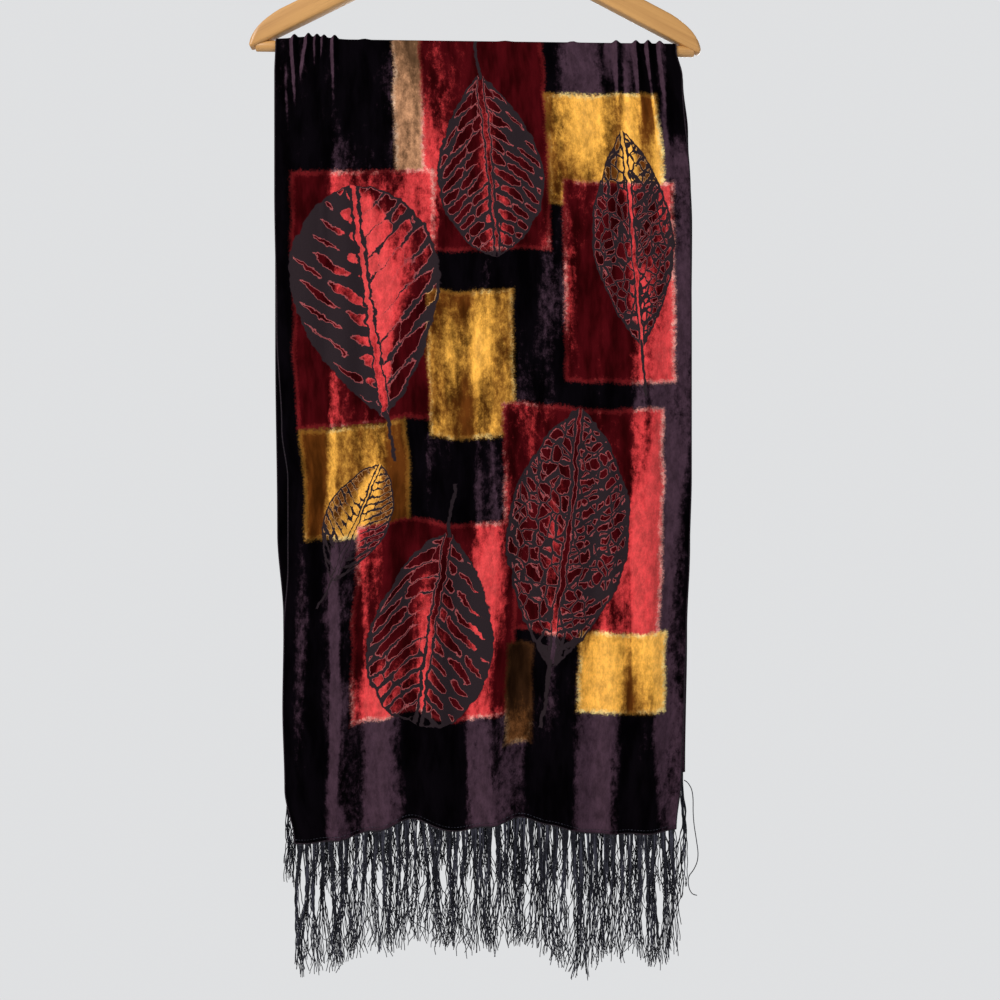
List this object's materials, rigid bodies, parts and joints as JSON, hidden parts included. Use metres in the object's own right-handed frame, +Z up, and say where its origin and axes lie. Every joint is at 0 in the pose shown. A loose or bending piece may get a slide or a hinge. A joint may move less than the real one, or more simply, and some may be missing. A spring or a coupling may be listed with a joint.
{
  "type": "fringed burnout velvet scarf on a wooden hanger",
  "caption": "Long fringed burnout velvet scarf folded over the bar of a plain wooden hanger, which hangs from a rail by its hook.",
  "frame": {"origin": "inside top of the hanger's hook, where the rail touches it", "axes": "+Z up, +X to the right of someone who faces the scarf, -Y out of its front"},
  "size_m": [0.4454, 0.0344, 1.1254],
  "materials": {
    "velvet": "crushed pile velvet with burnt-out areas, soft sheen",
    "fringe_thread": "twisted rayon thread, slight lustre",
    "hanger_wood": "clear satin varnish",
    "hook_steel": "polished"
  },
  "bodies": {
    "root": {"scarf_front_drop": "velvet", "scarf_bar_turn": "velvet", "scarf_back_drop": "velvet", "fringe_front": "fringe_thread", "fringe_back": "fringe_thread", "hanger_arm_left": "hanger_wood", "hanger_arm_right": "hanger_wood", "hanger_bar": "hanger_wood", "hanger_hook": "hook_steel"}
  },
  "joints": []
}
